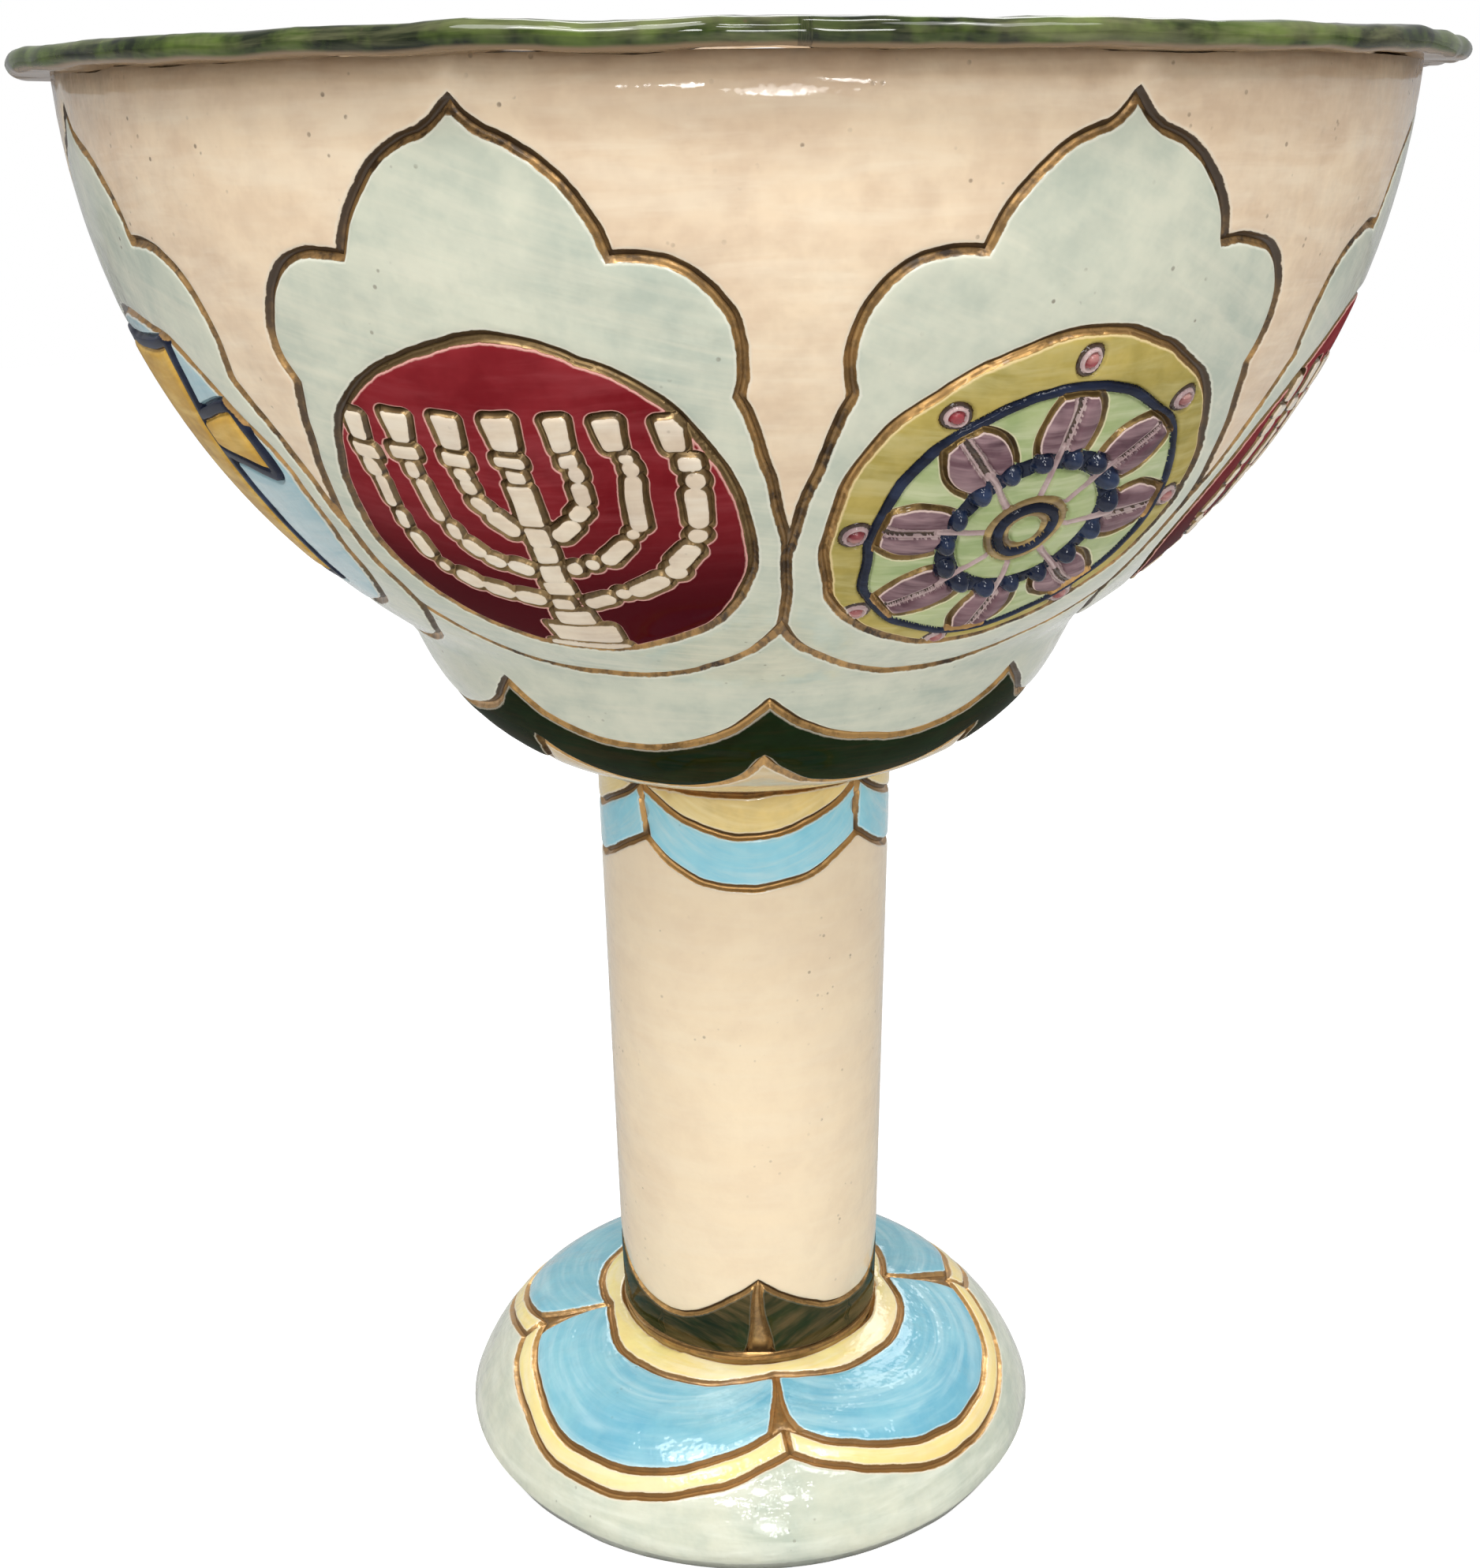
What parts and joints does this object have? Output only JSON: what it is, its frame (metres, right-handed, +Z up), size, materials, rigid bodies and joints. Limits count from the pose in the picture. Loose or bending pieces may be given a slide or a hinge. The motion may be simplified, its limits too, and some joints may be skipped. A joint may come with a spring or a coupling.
{
  "type": "chalice",
  "caption": "Footed ceramic chalice: a half-round basin with a flat rim, inlaid ogee panels and medallions, a straight stem and a domed foot. It stands free and holds things.",
  "frame": {"origin": "centre of the foot's ring on the surface that the chalice stands on", "axes": "+Z up along the axis of the stem and the basin, -Y towards the front, where two ogee panels meet"},
  "size_m": [0.4499, 0.45, 0.5126],
  "materials": {
    "cream_glaze": "glossy fired glaze with soft brush marks",
    "green_glaze": "glossy fired glaze with soft brush marks",
    "celadon_glaze": "glossy fired glaze with soft brush marks",
    "dark_green_glaze": "glossy fired glaze with soft brush marks",
    "yellow_glaze": "glossy fired glaze with soft brush marks",
    "ochre_glaze": "glossy fired glaze with soft brush marks",
    "crimson_glaze": "glossy fired glaze with soft brush marks",
    "leaf_glaze": "glossy fired glaze with soft brush marks",
    "blue_glaze": "glossy fired glaze with soft brush marks",
    "ivory_glaze": "glossy fired glaze with soft brush marks",
    "plum_glaze": "glossy fired glaze with soft brush marks",
    "gold_lustre": "gold lustre over a carved glazed surface",
    "bedding_plaster": "plain matt bedding"
  },
  "bodies": {
    "root": {"bowl_shell": "cream_glaze", "bowl_skirt": "celadon_glaze", "calyx": "cream_glaze", "foot_border_1": "yellow_glaze", "foot_border_2": "yellow_glaze", "foot_border_3": "yellow_glaze", "foot_border_4": "yellow_glaze", "foot_dish": "celadon_glaze", "foot_inner_ring": "yellow_glaze", "foot_petal_1": "blue_glaze", "foot_petal_2": "blue_glaze", "foot_petal_3": "blue_glaze", "foot_petal_4": "blue_glaze", "lower_bedding": "bedding_plaster", "medallion_ground_1": "leaf_glaze", "medallion_ground_2": "crimson_glaze", "medallion_ground_3": "blue_glaze", "medallion_ground_4": "crimson_glaze", "medallion_ground_5": "leaf_glaze", "medallion_ground_6": "crimson_glaze", "medallion_ground_7": "blue_glaze", "medallion_ground_8": "crimson_glaze", "medallion_motif_1": "plum_glaze", "medallion_motif_2": "ivory_glaze", "medallion_motif_3": "gold_lustre", "medallion_motif_4": "ivory_glaze", "medallion_motif_5": "plum_glaze", "medallion_motif_6": "ivory_glaze", "medallion_motif_7": "gold_lustre", "medallion_motif_8": "ivory_glaze", "ogee_panel_1": "celadon_glaze", "ogee_panel_2": "celadon_glaze", "ogee_panel_3": "celadon_glaze", "ogee_panel_4": "celadon_glaze", "ogee_panel_5": "celadon_glaze", "ogee_panel_6": "celadon_glaze", "ogee_panel_7": "celadon_glaze", "ogee_panel_8": "celadon_glaze", "rim_lip": "green_glaze", "stem_crescent_1": "ochre_glaze", "stem_crescent_2": "ochre_glaze", "stem_crescent_3": "ochre_glaze", "stem_crescent_4": "ochre_glaze", "stem_leaf_1": "dark_green_glaze", "stem_leaf_2": "dark_green_glaze", "stem_leaf_3": "dark_green_glaze", "stem_leaf_4": "dark_green_glaze", "stem_swag_1": "blue_glaze", "stem_swag_2": "blue_glaze", "stem_swag_3": "blue_glaze", "stem_swag_4": "blue_glaze", "stem_tube": "cream_glaze", "upper_bedding": "bedding_plaster", "zigzag_band": "dark_green_glaze"}
  },
  "joints": []
}
